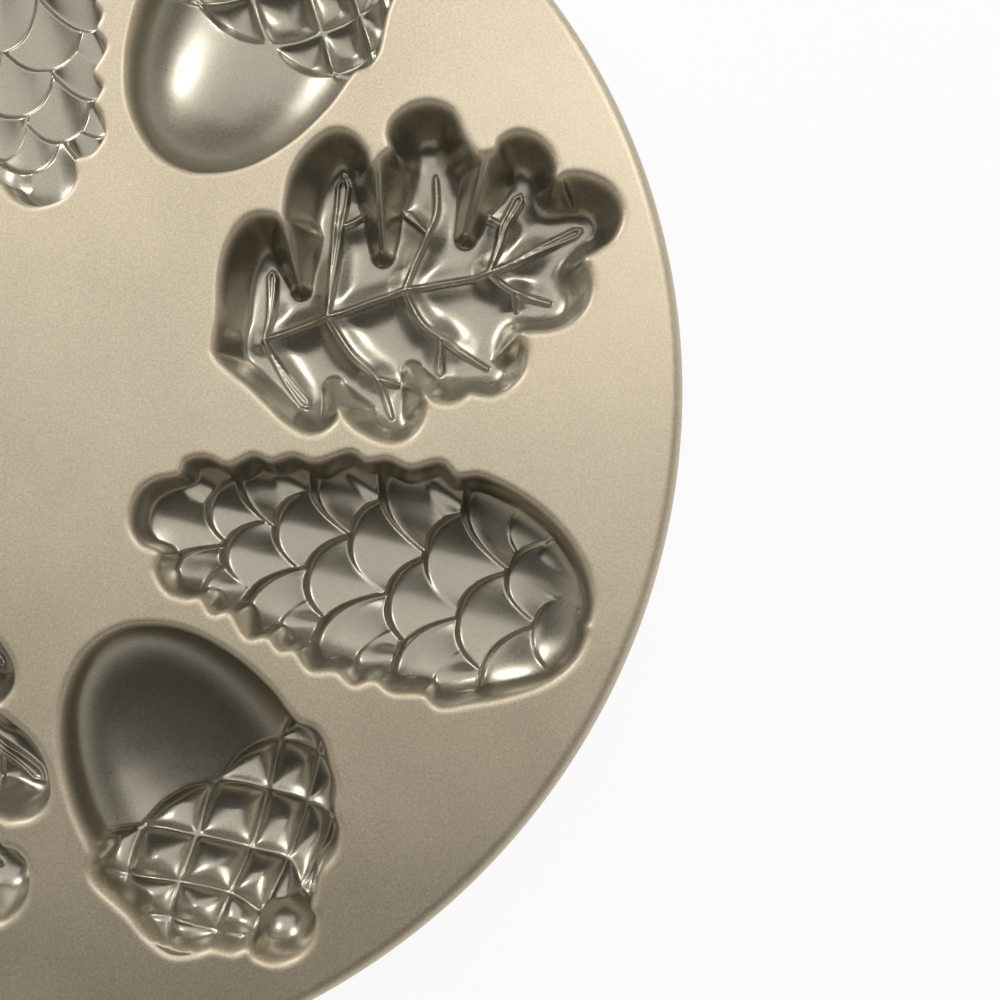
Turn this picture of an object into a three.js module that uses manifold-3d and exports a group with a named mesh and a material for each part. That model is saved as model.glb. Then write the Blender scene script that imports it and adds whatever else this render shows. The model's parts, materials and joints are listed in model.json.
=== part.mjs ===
import * as THREE from 'three';
import { mergeVertices } from 'three/addons/utils/BufferGeometryUtils.js';
import Module from 'manifold-3d';

// A round cast cakelet pan: three acorn, three oak leaf and three pine cone cups under one plate.
// Millimetres, +Z up. The origin is the middle of the pan on the surface that it stands on.

const wasm = await Module();
wasm.setup();

// The plate and its rolled rim
const panDiameter = 280;
const panHeight = 21.5;
const deckThickness = 3;
const rimThickness = 3;
const rimRound = 3;
const rimDrop = 8;
const rimSegments = 60;
const rimRoundSteps = 3;

// What all the cups share. cupFloor is the metal under the deepest cups, which stand on the table
const cupWall = 2.2;
const cupFloor = 3.1;
const footFlat = 0.6;
const cutOverrun = 6;
const copiesPerKind = 3;

// Where each kind of cup lies on the plate: how far out, at what bearing, and which way its axis turns.
// How far out and the sizes in plan come from the pan's diameter, so that nine cups fill any plate alike
const leafReachShare = 0.3157;
const leafBearing = 13.95;
const leafTurn = 19.7;
const coneReachShare = 0.2968;
const coneBearing = -27.1;
const coneTurn = -13.2;
const acornReachShare = 0.33;
const acornBearing = -63.3;
const acornTurn = -57.8;

// The oak leaf cup
const leafLengthShare = 0.3179;
const leafWidthShare = 0.2357;
const leafLength = leafLengthShare * panDiameter;
const leafWidth = leafWidthShare * panDiameter;
const leafFootGap = 3.8;
const leafDepth = panHeight - cupWall - leafFootGap;
const leafLip = 0.6;
const leafStepLength = 5;
const leafVeinHalfWidth = 1.7;
const leafVeinHeight = 2.2;
const leafCrestHalfWidth = 4;
const leafCrestTipHalfWidth = 1.4;
const leafCrestTipHeight = 1.2;

// The leaf's outline at the mouth, from the stem round by the lower lobes: each lobe has up to four
// points and each notch one. x is a share of the length, y of the width
const leafOutlineShares = [
  [-0.505, -0.015],
  [-0.433, -0.205], [-0.374, -0.33], [-0.315, -0.342], [-0.281, -0.305],
  [-0.236, -0.408], [-0.164, -0.459], [-0.099, -0.402], [-0.082, -0.355],
  [-0.031, -0.4], [0.019, -0.389],
  [0.079, -0.42], [0.149, -0.38], [0.175, -0.311], [0.175, -0.267],
  [0.247, -0.286], [0.337, -0.255], [0.374, -0.159], [0.376, -0.109],
  [0.454, -0.077], [0.497, 0.018], [0.454, 0.132], [0.381, 0.167],
  [0.385, 0.258], [0.324, 0.344], [0.256, 0.308], [0.22, 0.321],
  [0.207, 0.424], [0.16, 0.526], [0.079, 0.523], [0.04, 0.447], [0.009, 0.412], [-0.02, 0.397],
  [-0.027, 0.477], [-0.084, 0.542], [-0.169, 0.497], [-0.236, 0.376], [-0.257, 0.315],
  [-0.317, 0.365], [-0.407, 0.289], [-0.469, 0.106],
];

// The leaf's wall below its lip: how deep and how far in, as shares of the depth
const leafWallShares = [[0.07, 0.01], [0.75, 0.15], [1, 0.3]];
const leafFoldShare = 0.9;

// Crests that run down from the notches to the floor, each from its notch to its inner end
const leafCrestShares = [
  [[-0.257, 0.315], [-0.279, 0.15]],
  [[-0.006, 0.403], [-0.064, 0.155]],
  [[0.242, 0.308], [0.135, 0.121]],
  [[0.381, 0.167], [0.326, 0.121]],
  [[0.376, -0.109], [0.326, -0.08]],
  [[0.175, -0.267], [0.163, -0.167]],
  [[-0.082, -0.355], [-0.096, -0.189]],
  [[-0.281, -0.305], [-0.288, -0.152]],
];

// The midrib and the side veins, x as a share of the length and y as a share of the width
const leafVeinShares = [
  [[-0.412, 0.005], [-0.393, 0.027], [-0.242, 0.033], [-0.044, 0.033], [0.165, -0.006], [0.4, 0.03]],
  [[-0.4, 0.02], [-0.334, 0.238]],
  [[-0.4, 0.02], [-0.36, -0.227]],
  [[-0.242, 0.033], [-0.213, 0.12], [-0.169, 0.242], [-0.09, 0.44]],
  [[-0.15, 0.3], [-0.068, 0.325]],
  [[-0.242, 0.033], [-0.218, -0.103], [-0.18, -0.212], [-0.178, -0.345]],
  [[-0.18, -0.212], [-0.136, -0.255]],
  [[-0.044, 0.033], [0, 0.106], [0.056, 0.188], [0.097, 0.258], [0.124, 0.36]],
  [[0.056, 0.188], [0.034, 0.25], [0.02, 0.288]],
  [[-0.044, 0.033], [-0.033, -0.077], [0, -0.155], [0.082, -0.303]],
  [[0, -0.155], [-0.031, -0.267]],
  [[0.165, -0.006], [0.213, 0.076], [0.242, 0.132], [0.306, 0.21]],
  [[0.242, 0.132], [0.205, 0.182]],
  [[0.165, -0.006], [0.209, -0.091], [0.281, -0.167]],
  [[0.209, -0.091], [0.2, -0.155]],
];
const leafVeinTipShare = 0.45;

// The pine cone cup
const coneLengthShare = 0.3393;
const coneHalfWidthShare = 0.0796;
const coneLength = coneLengthShare * panDiameter;
const coneHalfWidth = coneHalfWidthShare * panDiameter;
const coneScaleRise = 2.2;
const coneDepth = panHeight - cupFloor - coneScaleRise;
const coneScaleSink = 0.4;
const coneScaleCrown = 1.4;
const coneColumns = 12;
const coneSegments = 20;

// Half outline of the cone from its narrow tip: x as a share of the length, y of the half width
const coneProfileShares = [
  [-0.5, 0], [-0.48, 0.22], [-0.43, 0.4], [-0.375, 0.54], [-0.31, 0.68], [-0.21, 0.83], [-0.1, 0.92],
  [0, 0.97], [0.1, 1], [0.21, 0.99], [0.31, 0.92], [0.4, 0.76], [0.46, 0.53], [0.5, 0],
];

// Rows of scale noses along the cone, as shares of its length, and the ring where the last scales end
const coneRowShares = [-0.485, -0.395, -0.325, -0.24, -0.14, -0.075, 0.045, 0.11, 0.21, 0.3, 0.385];
const coneHeelShare = 0.46;

// A scale's shoulder: how far back as a share of the step to the next row, how far round as one of the
// step between columns. At its sides the cone swells less than it does below
const coneShoulderShares = [0.3, 0.7];
const coneSideShare = 0.6;

// The acorn cup
const nutLengthShare = 0.1286;
const nutHalfWidthShare = 0.0829;
const nutLength = nutLengthShare * panDiameter;
const nutHalfWidth = nutHalfWidthShare * panDiameter;
const nutFootGap = 4.1;
const nutDepth = panHeight - cupWall - nutFootGap;
const nutSegments = 20;
const capLengthShare = 0.1107;
const capHalfWidthShare = 0.0879;
const capLength = capLengthShare * panDiameter;
const capHalfWidth = capHalfWidthShare * panDiameter;
const capFacetRise = 2.2;
const capDepth = panHeight - cupFloor - capFacetRise;
const capColumns = 9;
const buttonRadiusShare = 0.0225;
const buttonRadius = buttonRadiusShare * panDiameter;
const buttonDepth = 11;
const buttonSegments = 10;
const buttonRings = 6;

// Half outline of the nut from its tip to the cap: x as a share of its length, y of its half width
const nutProfileShares = [
  [-1, 0], [-0.955, 0.28], [-0.865, 0.5], [-0.73, 0.66], [-0.51, 0.84], [-0.27, 0.96], [-0.08, 1],
  [0.1, 0.99], [0.2, 0],
];

// Rows of crossing ridges on the cap: x as a share of its length, radius of its half width
const capRowShares = [[0.03, 0.97], [0.25, 1], [0.51, 0.91], [0.73, 0.73], [0.92, 0.4]];
const capBulgeShares = [-0.05, 0.97];
const capFacetShares = [[0.08, 1], [0.25, 1], [0.5, 0.92], [0.72, 0.74], [0.9, 0.42]];
const capEndShare = 1.02;
const capRootShare = 0.15;

const deckUnderside = panHeight - deckThickness;
const panRadius = panDiameter / 2;
const radians = THREE.MathUtils.degToRad;

const castMetal = new THREE.MeshStandardMaterial({ color: 0xc4b393, roughness: 0.42, metalness: 0.65 });

// A closed solid from a geometry, with its shared vertices merged.
function solidOf(geometry) {
  const bare = new THREE.BufferGeometry();
  bare.setAttribute('position', geometry.getAttribute('position'));
  bare.setIndex(geometry.getIndex());
  const merged = mergeVertices(bare);
  return new wasm.Manifold(new wasm.Mesh({
    numProp: 3,
    vertProperties: new Float32Array(merged.getAttribute('position').array),
    triVerts: new Uint32Array(merged.getIndex().array),
  }));
}

// The mesh of a solid, ready for the scene graph.
function geometryOf(solid) {
  const mesh = solid.getMesh();
  const geometry = new THREE.BufferGeometry();
  geometry.setAttribute('position', new THREE.BufferAttribute(new Float32Array(mesh.vertProperties), 3));
  geometry.setIndex(new THREE.BufferAttribute(new Uint32Array(mesh.triVerts), 1));
  geometry.computeVertexNormals();
  return geometry;
}

function joined(solids) {
  return solids.reduce((all, one) => all.add(one));
}

// A solid from points and triangles, turned right side out.
function solidFromFaces(points, faces) {
  const inside = faces.reduce((sum, [a, b, c]) => (
    sum + points[a].dot(new THREE.Vector3().crossVectors(points[b], points[c]))), 0);
  const outward = inside > 0 ? faces : faces.map(([a, b, c]) => [a, c, b]);
  const geometry = new THREE.BufferGeometry().setFromPoints(points);
  geometry.setIndex(outward.flat());
  return solidOf(geometry);
}

// A loft through level rings of equal count, closed at both ends.
function loft(rings) {
  const count = rings[0].length;
  const faces = [];
  for (let level = 0; level < rings.length - 1; level += 1) {
    for (let i = 0; i < count; i += 1) {
      const next = (i + 1) % count;
      const low = level * count;
      const high = low + count;
      faces.push([low + i, low + next, high + next], [low + i, high + next, high + i]);
    }
  }
  const last = (rings.length - 1) * count;
  const flat = (ring) => THREE.ShapeUtils.triangulateShape(ring.map(({ x, y }) => new THREE.Vector2(x, y)), []);
  flat(rings[0]).forEach(([a, b, c]) => faces.push([a, c, b]));
  flat(rings.at(-1)).forEach(([a, b, c]) => faces.push([last + a, last + b, last + c]));
  return solidFromFaces(rings.flat(), faces);
}

// Quarter turns that lay a lathe's axis along X or stand it up along Z, in whole numbers.
const axisAlongX = new THREE.Matrix4().set(0, 1, 0, 0, -1, 0, 0, 0, 0, 0, 1, 0, 0, 0, 0, 1);
const axisUpright = new THREE.Matrix4().set(1, 0, 0, 0, 0, 0, -1, 0, 0, 1, 0, 0, 0, 0, 0, 1);

// A body turned about the X axis from a half outline, flattened or deepened along Z.
function turned(profile, depth, halfWidth, segments) {
  const lathe = new THREE.LatheGeometry(profile.map(([x, y]) => new THREE.Vector2(y, x)), segments);
  lathe.applyMatrix4(axisAlongX);
  lathe.scale(1, 1, depth / halfWidth);
  return solidOf(lathe);
}

function onLeaf([xShare, yShare]) {
  return new THREE.Vector2(xShare * leafLength, yShare * leafWidth);
}

// The leaf's mouth: a smooth curve through its outline, in steps of about one length.
function leafLoop() {
  const stops = leafOutlineShares.map(onLeaf);
  const curve = new THREE.CatmullRomCurve3(stops.map(({ x, y }) => new THREE.Vector3(x, y, 0)), true);
  return stops.flatMap((stop, i) => {
    const steps = Math.max(1, Math.round(stop.distanceTo(stops[(i + 1) % stops.length]) / leafStepLength));
    return Array.from({ length: steps }, (_, step) => {
      const { x, y } = curve.getPoint((i + step / steps) / stops.length);
      return new THREE.Vector2(x, y);
    });
  });
}

function distanceToLoop(point, loop) {
  const nearest = new THREE.Vector3();
  const here = new THREE.Vector3(point.x, point.y, 0);
  return loop.reduce((least, start, i) => {
    const end = loop[(i + 1) % loop.length];
    new THREE.Line3(new THREE.Vector3(start.x, start.y, 0), new THREE.Vector3(end.x, end.y, 0))
      .closestPointToPoint(here, true, nearest);
    return Math.min(least, nearest.distanceTo(here));
  }, Infinity);
}

// The loop moved inwards, or outwards where the inset is negative. Points that would fold over are
// spread between their sound neighbours.
function insetLoop(loop, inset) {
  const count = loop.length;
  const moved = loop.map((point, i) => {
    const along = loop[(i + 1) % count].clone().sub(loop[(i + count - 1) % count]).normalize();
    return new THREE.Vector2(-along.y, along.x).multiplyScalar(inset).add(point);
  });
  const sound = moved.map((point) => distanceToLoop(point, loop) >= Math.abs(inset) * leafFoldShare);
  return moved.map((point, i) => {
    let back = 0;
    let ahead = 0;
    while (!sound[(i + count - back) % count]) back += 1;
    while (!sound[(i + ahead) % count]) ahead += 1;
    const start = moved[(i + count - back) % count];
    return back + ahead > 0 ? start.clone().lerp(moved[(i + ahead) % count], back / (back + ahead)) : point;
  });
}

function levelRing(loop, z) {
  return loop.map(({ x, y }) => new THREE.Vector3(x, y, z));
}

// The leaf lofted from above the plate to its floor; grow moves the wall and the floor outwards.
function leafBody(grow) {
  const mouth = leafLoop();
  const lipRing = insetLoop(mouth, -grow - leafLip);
  const rings = [levelRing(lipRing, cutOverrun), levelRing(lipRing, 0)];
  for (const [depthShare, insetShare] of leafWallShares) {
    const ring = insetLoop(mouth, insetShare * leafDepth - grow);
    rings.push(levelRing(ring, -depthShare * (leafDepth + grow)));
  }
  return loft(rings);
}

// A tent-shaped ridge on the leaf's floor, with its own half width and height at each stop.
function floorRidge(stops) {
  const rings = stops.map(({ at, halfWidth, height }, i) => {
    const before = stops[Math.max(i - 1, 0)].at;
    const after = stops[Math.min(i + 1, stops.length - 1)].at;
    const along = after.clone().sub(before).normalize();
    const side = new THREE.Vector2(-along.y, along.x).multiplyScalar(halfWidth);
    return [
      new THREE.Vector3(at.x + side.x, at.y + side.y, -leafDepth),
      new THREE.Vector3(at.x, at.y, height - leafDepth),
      new THREE.Vector3(at.x - side.x, at.y - side.y, -leafDepth),
      new THREE.Vector3(at.x, at.y, -leafDepth - cutOverrun),
    ];
  });
  const count = rings[0].length;
  const last = (rings.length - 1) * count;
  const faces = [[0, 2, 1], [0, 3, 2], [last, last + 1, last + 2], [last, last + 2, last + 3]];
  for (let ring = 0; ring < last; ring += count) {
    for (let i = 0; i < count; i += 1) {
      const next = (i + 1) % count;
      faces.push([ring + i, ring + next, ring + count + next], [ring + i, ring + count + next, ring + count + i]);
    }
  }
  return solidFromFaces(rings.flat(), faces);
}

function veinRidge(shares) {
  return floorRidge(shares.map((share, i) => {
    const taper = THREE.MathUtils.lerp(1, leafVeinTipShare, i / (shares.length - 1));
    return { at: onLeaf(share), halfWidth: leafVeinHalfWidth * taper, height: leafVeinHeight * taper };
  }));
}

function crestRidge([notch, tip]) {
  return floorRidge([
    { at: onLeaf(notch), halfWidth: leafCrestHalfWidth, height: leafDepth },
    { at: onLeaf(tip), halfWidth: leafCrestTipHalfWidth, height: leafCrestTipHeight },
  ]);
}

function leafCakelet() {
  const ridges = [...leafVeinShares.map(veinRidge), ...leafCrestShares.map(crestRidge)];
  return leafBody(0).subtract(joined(ridges));
}

// Half width of the cone's core at a place along it.
function coneWidthAt(x) {
  const share = THREE.MathUtils.clamp(x / coneLength, -0.5, 0.5);
  const next = Math.max(1, coneProfileShares.findIndex(([xShare]) => xShare >= share));
  const [x0, y0] = coneProfileShares[next - 1];
  const [x1, y1] = coneProfileShares[next];
  return coneHalfWidth * THREE.MathUtils.mapLinear(share, x0, x1, y0, y1);
}

// A point on the cone at an angle from straight down, lifted off its core.
function conePoint(x, angle, lift) {
  const width = coneWidthAt(x);
  const across = width + lift * coneSideShare;
  const down = width * coneDepth / coneHalfWidth + lift;
  return new THREE.Vector3(x, across * Math.sin(angle), -down * Math.cos(angle));
}

// The cone as one body of scales that overlap like tiles. Their noses stand in rows, every other row half
// a step round, and each scale runs back from its raised nose under the noses of the next two rows.
function coneCakelet() {
  const step = 2 * Math.PI / coneColumns;
  const points = [];
  const faces = [];
  const place = (point) => points.push(point) - 1;
  const ringOf = (row, make) => Array.from({ length: coneColumns / 2 }, (_, k) => (
    make(step * (2 * k + row % 2 - 1 / 2))));
  const rows = coneRowShares.map((share, row) => ringOf(row, (angle) => {
    const x = share * coneLength;
    const reach = (coneRowShares[row + 1] ?? coneHeelShare) * coneLength - x;
    const edge = (back, round) => ({
      high: place(conePoint(x + back * reach, angle + round * step, coneScaleRise)),
      low: place(conePoint(x + back * reach, angle + round * step, -coneScaleSink)),
    });
    const [back, round] = coneShoulderShares;
    const crown = place(conePoint(x + reach, angle, coneScaleCrown));
    return { nose: edge(0, 0), before: edge(back, -round), after: edge(back, round), crown };
  }));
  const heel = ringOf(rows.length, (angle) => (
    { nose: { low: place(conePoint(coneHeelShare * coneLength, angle, -coneScaleSink)) } }));
  const tip = place(new THREE.Vector3(-coneLength / 2, 0, 0));
  const end = place(new THREE.Vector3(coneLength / 2, 0, 0));

  rows.forEach((row, r) => row.forEach(({ nose, before, after, crown }, k) => {
    const next = rows[r + 1] ?? heel;
    const up = next[(k + r % 2) % row.length];
    const down = next[(k + r % 2 + row.length - 1) % row.length];
    const tail = r < rows.length - 1 ? (rows[r + 2] ?? heel)[k].nose.low : end;
    const outline = [
      nose.high, after.high, up.nose.low, up.before?.low, tail, down.after?.low, down.nose.low, before.high,
    ].filter((corner) => corner !== undefined);
    outline.forEach((corner, i) => faces.push([crown, corner, outline[(i + 1) % outline.length]]));
    faces.push([after.high, nose.high, nose.low], [after.high, nose.low, after.low]);
    faces.push([up.nose.low, after.high, after.low], [before.high, down.nose.low, before.low]);
    faces.push([nose.high, before.high, before.low], [nose.high, before.low, nose.low]);
    if (r === 0) {
      faces.push([tip, after.low, nose.low], [tip, up.nose.low, after.low]);
      faces.push([tip, nose.low, before.low], [tip, before.low, down.nose.low]);
    }
  }));
  return solidFromFaces(points, faces);
}

function coneShell() {
  const grow = coneScaleRise * coneSideShare + cupWall;
  const length = coneLength + 2 * grow;
  const halfWidth = coneHalfWidth + grow;
  const profile = coneProfileShares.map(([xShare, yShare]) => [xShare * length, yShare * halfWidth]);
  return turned(profile, panHeight + footFlat, halfWidth, coneSegments);
}

function nutBody(grow, depth) {
  const length = nutLength + grow;
  const halfWidth = nutHalfWidth + grow;
  const profile = nutProfileShares.map(([xShare, yShare]) => [xShare * length, yShare * halfWidth]);
  return turned(profile, depth, halfWidth, nutSegments);
}

function capPoint([xShare, radiusShare], angle, lift) {
  const radius = radiusShare * capHalfWidth;
  const across = radius + lift;
  const down = radius * capDepth / capHalfWidth + lift;
  return new THREE.Vector3(xShare * capLength, across * Math.sin(angle), -down * Math.cos(angle));
}

// The acorn's cap: rows of ridges that cross in diamonds, each diamond a four-sided pyramid.
function capBody() {
  const step = Math.PI / capColumns;
  const points = [];
  const place = (point) => points.push(point) - 1;
  const ring = (shares, odd) => Array.from({ length: capColumns }, (_, k) => (
    place(capPoint(shares, step * (2 * k + odd), 0))));
  const bulges = ring(capBulgeShares, 1);
  const rows = capRowShares.map((shares, row) => ring(shares, row % 2));
  const end = place(new THREE.Vector3(capEndShare * capLength, 0, 0));
  const root = place(new THREE.Vector3(capRootShare * capLength, 0, 0));
  const faces = [];
  for (let row = 0; row < rows.length; row += 1) {
    const odd = (row + 1) % 2;
    const left = row === 0 ? bulges : rows[row - 1];
    const right = rows[row + 1];
    for (let k = 0; k < capColumns; k += 1) {
      const peak = place(capPoint(capFacetShares[row], step * (2 * k + odd), capFacetRise));
      const below = rows[row][odd ? k : (k + capColumns - 1) % capColumns];
      const above = rows[row][odd ? (k + 1) % capColumns : k];
      const ahead = right ? right[k] : end;
      faces.push([left[k], below, peak], [below, ahead, peak]);
      faces.push([ahead, above, peak], [above, left[k], peak]);
    }
  }
  for (let k = 0; k < capColumns; k += 1) {
    const next = (k + 1) % capColumns;
    faces.push([bulges[k], root, rows[0][k]], [rows[0][next], root, bulges[k]]);
  }
  return solidFromFaces(points, faces);
}

function buttonBody(grow, depth) {
  const radius = buttonRadius + grow;
  const button = new THREE.SphereGeometry(radius, buttonSegments, buttonRings);
  button.scale(1, 1, depth / radius);
  button.translate(capLength, 0, 0);
  return solidOf(button);
}

function acornCakelet() {
  return joined([nutBody(0, nutDepth), capBody(), buttonBody(0, buttonDepth)]);
}

// The cap's outside is smooth: a turned dome that clears the pyramids by the wall.
function acornShell() {
  const grow = capFacetRise + cupWall;
  const halfWidth = capHalfWidth + grow;
  const dome = capRowShares.map(([xShare, radiusShare]) => [
    xShare * capLength, radiusShare * capHalfWidth + grow]);
  const start = capBulgeShares[0] * capLength;
  const profile = [[start, 0], [start, halfWidth - grow / 2], ...dome, [capLength + grow, 0]];
  const cap = turned(profile, panHeight + footFlat, halfWidth, nutSegments);
  return joined([nutBody(cupWall, nutDepth + cupWall), cap, buttonBody(cupWall, buttonDepth + cupWall)]);
}

// The slab of space that a cup fills, from the table to the underside of the plate.
function cupSpace() {
  const slab = new THREE.BoxGeometry(panDiameter, panDiameter, deckUnderside);
  slab.translate(0, 0, deckUnderside / 2 - panHeight);
  return solidOf(slab);
}

function cupOf(shell, cakelet) {
  return shell.intersect(cupSpace()).subtract(cakelet);
}

// The plate with its rim rolled down, turned about Z.
function plate() {
  const round = (centreRadius, centreZ, radius) => Array.from({ length: rimRoundSteps + 1 }, (_, step) => {
    const angle = Math.PI / 2 * (1 - step / rimRoundSteps);
    return new THREE.Vector2(centreRadius + radius * Math.cos(angle), centreZ + radius * Math.sin(angle));
  });
  const outer = round(panRadius - rimRound, -rimRound, rimRound);
  const innerRadius = panRadius - rimThickness;
  const profile = [
    new THREE.Vector2(0, -deckThickness),
    new THREE.Vector2(innerRadius - rimRound, -deckThickness),
    new THREE.Vector2(innerRadius, -deckThickness - rimRound),
    new THREE.Vector2(innerRadius, -rimDrop),
    new THREE.Vector2(panRadius, -rimDrop),
    ...outer.reverse(),
    new THREE.Vector2(0, 0),
  ];
  const lathe = new THREE.LatheGeometry(profile, rimSegments);
  lathe.applyMatrix4(axisUpright);
  return solidOf(lathe);
}

// Angle of a copy of a cup about the middle of the pan, in degrees.
function copyAngle(copy) {
  return 360 * copy / copiesPerKind;
}

const kinds = [
  {
    name: 'oak_leaf_cup', reach: leafReachShare * panDiameter, bearing: leafBearing, turn: leafTurn,
    cakelet: leafCakelet(), shell: leafBody(cupWall),
  },
  {
    name: 'pine_cone_cup', reach: coneReachShare * panDiameter, bearing: coneBearing, turn: coneTurn,
    cakelet: coneCakelet(), shell: coneShell(),
  },
  {
    name: 'acorn_cup', reach: acornReachShare * panDiameter, bearing: acornBearing, turn: acornTurn,
    cakelet: acornCakelet(), shell: acornShell(),
  },
];

const pan = new THREE.Group();
pan.position.z = panHeight;

let deck = plate();
for (const kind of kinds) {
  const cup = geometryOf(cupOf(kind.shell, kind.cakelet));
  for (let copy = 0; copy < copiesPerKind; copy += 1) {
    const bearing = kind.bearing + copyAngle(copy);
    const turn = kind.turn + copyAngle(copy);
    const x = kind.reach * Math.cos(radians(bearing));
    const y = kind.reach * Math.sin(radians(bearing));
    deck = deck.subtract(kind.cakelet.rotate([0, 0, turn]).translate([x, y, 0]));
    const mesh = new THREE.Mesh(cup, castMetal);
    mesh.name = `${kind.name}_${copy + 1}`;
    mesh.position.set(x, y, 0);
    mesh.rotation.z = radians(turn);
    pan.add(mesh);
  }
}

const deckMesh = new THREE.Mesh(geometryOf(deck), castMetal);
deckMesh.name = 'deck_plate';
pan.add(deckMesh);

export default pan;
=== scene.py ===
import json
import math

import bmesh
import bpy
import numpy as np
from bpy.props import FloatProperty, FloatVectorProperty, PointerProperty
from mathutils import Matrix, Vector

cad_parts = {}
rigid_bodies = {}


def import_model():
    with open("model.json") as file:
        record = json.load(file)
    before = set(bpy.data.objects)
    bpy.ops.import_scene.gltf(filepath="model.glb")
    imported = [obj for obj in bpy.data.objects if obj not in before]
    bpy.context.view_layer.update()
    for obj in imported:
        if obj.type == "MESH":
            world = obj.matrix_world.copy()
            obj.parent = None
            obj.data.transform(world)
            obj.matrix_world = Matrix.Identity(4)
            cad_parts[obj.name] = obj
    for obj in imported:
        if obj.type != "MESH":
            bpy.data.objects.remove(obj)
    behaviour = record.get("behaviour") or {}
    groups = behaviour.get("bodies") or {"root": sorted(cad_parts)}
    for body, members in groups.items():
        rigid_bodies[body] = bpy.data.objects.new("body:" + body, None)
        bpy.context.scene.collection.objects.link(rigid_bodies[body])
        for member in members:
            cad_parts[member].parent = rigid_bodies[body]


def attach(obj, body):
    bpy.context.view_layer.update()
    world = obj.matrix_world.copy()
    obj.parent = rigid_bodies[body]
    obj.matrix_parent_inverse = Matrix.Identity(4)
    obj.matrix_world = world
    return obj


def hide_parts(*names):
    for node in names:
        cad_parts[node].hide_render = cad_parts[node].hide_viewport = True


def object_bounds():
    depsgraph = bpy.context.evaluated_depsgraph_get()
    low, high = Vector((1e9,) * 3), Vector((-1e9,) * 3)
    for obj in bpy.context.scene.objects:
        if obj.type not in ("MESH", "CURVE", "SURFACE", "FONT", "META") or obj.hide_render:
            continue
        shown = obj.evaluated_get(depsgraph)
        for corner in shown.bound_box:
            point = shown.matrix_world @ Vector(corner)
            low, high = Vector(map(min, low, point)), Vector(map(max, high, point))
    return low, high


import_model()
cad_low, cad_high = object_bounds()

bl_info = {
    "name": "Cakelet Pan",
    "version": (1, 0, 0),
    "blender": (4, 5, 0),
    "location": "View3D > Sidebar > Cakelet Pan",
    "description": "Builds a round cast pan with acorn, oak leaf and pine cone cups",
    "category": "Object",
}

# Lengths in the tables are millimetres in a cup's own plan: x along its axis, z = 0 on the plate's top.
MM = 0.001
DECK_TOP = cad_high.z
COPIES = 3
BODY = "root"

# Points of a smooth line for each stop, and how many points are measured against a line at a time
STEPS_PER_STOP = 8
CHUNK = 4000

# In the rounded depth, how much the nearest sides count for, and the least squared distance
SIDE_POWER = 5
LEAST_SQUARE = 0.04

# A body seen from above: the cell of its table of heights, the places round it in degrees, and the
# most cells that one step round it crosses
BODY_CELL = 0.2
BODY_TURNS = np.linspace(-90, 90, 1441)
CELLS_PER_STEP = 12

# How far a lift moves a body's side out, as a share of how far it moves the bottom down
SIDE_LIFT = 0.7

# Where inside the mouth a cavity's floor begins, and how round its outside meets the wall's outside
FLOOR_BEGINS = (-0.6, 0.5)
SHELL_BLEND = 0.6


# Curves and distances


def eased(stops):
    """A curve through (place, value) stops that never swings past them."""
    places, values = np.array(stops, float).T
    steps = np.diff(places)
    slopes = np.diff(values) / steps
    tangents = np.zeros(len(places))
    before, after = slopes[:-1], slopes[1:]
    level = before * after <= 0
    weight_before = 2 * steps[1:] + steps[:-1]
    weight_after = steps[1:] + 2 * steps[:-1]
    safe_before = np.where(level, 1, before)
    safe_after = np.where(level, 1, after)
    mean = (weight_before + weight_after) / (weight_before / safe_before + weight_after / safe_after)
    tangents[1:-1] = np.where(level, 0, mean)
    tangents[0], tangents[-1] = slopes[0], slopes[-1]

    def at(x):
        x = np.clip(x, places[0], places[-1])
        index = np.clip(np.searchsorted(places, x) - 1, 0, len(steps) - 1)
        step = steps[index]
        share = (x - places[index]) / step
        low, high = values[index], values[index + 1]
        start, end = tangents[index] * step, tangents[index + 1] * step
        square, cube = share**2, share**3
        return (
            low * (2 * cube - 3 * square + 1) + high * (3 * square - 2 * cube)
            + start * (cube - 2 * square + share) + end * (cube - square)
        )

    return at


def smooth_line(stops, closed=False):
    """Points along a smooth curve through the stops."""
    stops = np.array(stops, float)
    if closed:
        around = np.vstack([stops[-1:], stops, stops[:2]])
    else:
        first = 2 * stops[0] - stops[1]
        last = 2 * stops[-1] - stops[-2]
        around = np.vstack([first, stops, last])
    share = np.linspace(0, 1, STEPS_PER_STOP, endpoint=False)[:, None]
    points = []
    for before, start, end, after in zip(around, around[1:], around[2:], around[3:]):
        points.append(
            0.5 * (
                2 * start + (end - before) * share
                + (2 * before - 5 * start + 4 * end - after) * share**2
                + (3 * start - before - 3 * end + after) * share**3
            )
        )
    if not closed:
        points.append(stops[-1:])
    return np.vstack(points)


def distance_to(points, line):
    """How far each point is from a line, and how far along the line its nearest place is, from 0 to 1."""
    start, step = line[:-1], np.diff(line, axis=0)
    lengths = np.hypot(*step.T)
    run = np.concatenate([[0], np.cumsum(lengths)])
    far = np.empty(len(points))
    along = np.empty(len(points))
    for first in range(0, len(points), CHUNK):
        chunk = slice(first, first + CHUNK)
        part = points[chunk]
        offset = part[:, None, :] - start[None]
        share = np.clip((offset * step).sum(2) / lengths**2, 0, 1)
        gap = offset - share[..., None] * step
        square = (gap**2).sum(2)
        nearest = square.argmin(1)
        rows = np.arange(len(part))
        far[chunk] = np.sqrt(square[rows, nearest])
        place = run[nearest] + share[rows, nearest] * lengths[nearest]
        along[chunk] = place / run[-1]
    return far, along


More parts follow.
